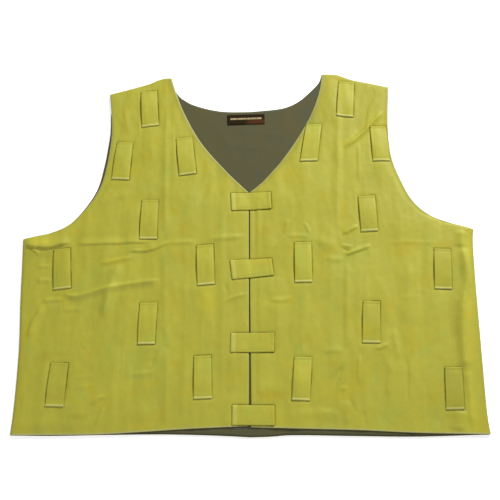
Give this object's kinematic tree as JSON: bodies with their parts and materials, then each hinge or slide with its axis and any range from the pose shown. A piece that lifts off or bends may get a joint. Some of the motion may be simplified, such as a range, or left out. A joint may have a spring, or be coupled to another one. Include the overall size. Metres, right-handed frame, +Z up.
{
  "type": "sleeveless tunic vest",
  "caption": "Boxy sleeveless V-necked over-vest laid flat, lined, with strap loops sewn over both fronts and tabs that close the middle slit.",
  "frame": {"origin": "on the surface that the garment lies on, under the middle of its bounding box", "axes": "+Z up from the surface, +Y towards the neck, +X towards the wearer's left"},
  "size_m": [0.659, 0.5471, 0.0109],
  "materials": {
    "shell_cloth": "smooth sateen, chartreuse yellow",
    "loop_cloth": "smooth sateen, chartreuse yellow",
    "lining_cloth": "matt plain weave, dark olive",
    "label_cloth": "woven, dark brown with a plain tan stripe"
  },
  "bodies": {
    "root": {"back": "shell_cloth", "back_lining": "lining_cloth", "right_front": "shell_cloth", "left_front": "shell_cloth", "right_loop_1": "loop_cloth", "right_loop_2": "loop_cloth", "right_loop_3": "loop_cloth", "right_loop_4": "loop_cloth", "right_loop_5": "loop_cloth", "right_loop_6": "loop_cloth", "right_loop_7": "loop_cloth", "right_loop_8": "loop_cloth", "right_loop_9": "loop_cloth", "left_loop_1": "loop_cloth", "left_loop_2": "loop_cloth", "left_loop_3": "loop_cloth", "left_loop_4": "loop_cloth", "left_loop_5": "loop_cloth", "left_loop_6": "loop_cloth", "left_loop_7": "loop_cloth", "left_loop_8": "loop_cloth", "left_loop_9": "loop_cloth", "closing_tab_1": "loop_cloth", "closing_tab_2": "loop_cloth", "closing_tab_3": "loop_cloth", "closing_tab_4": "loop_cloth", "neck_label": "label_cloth"}
  },
  "joints": []
}
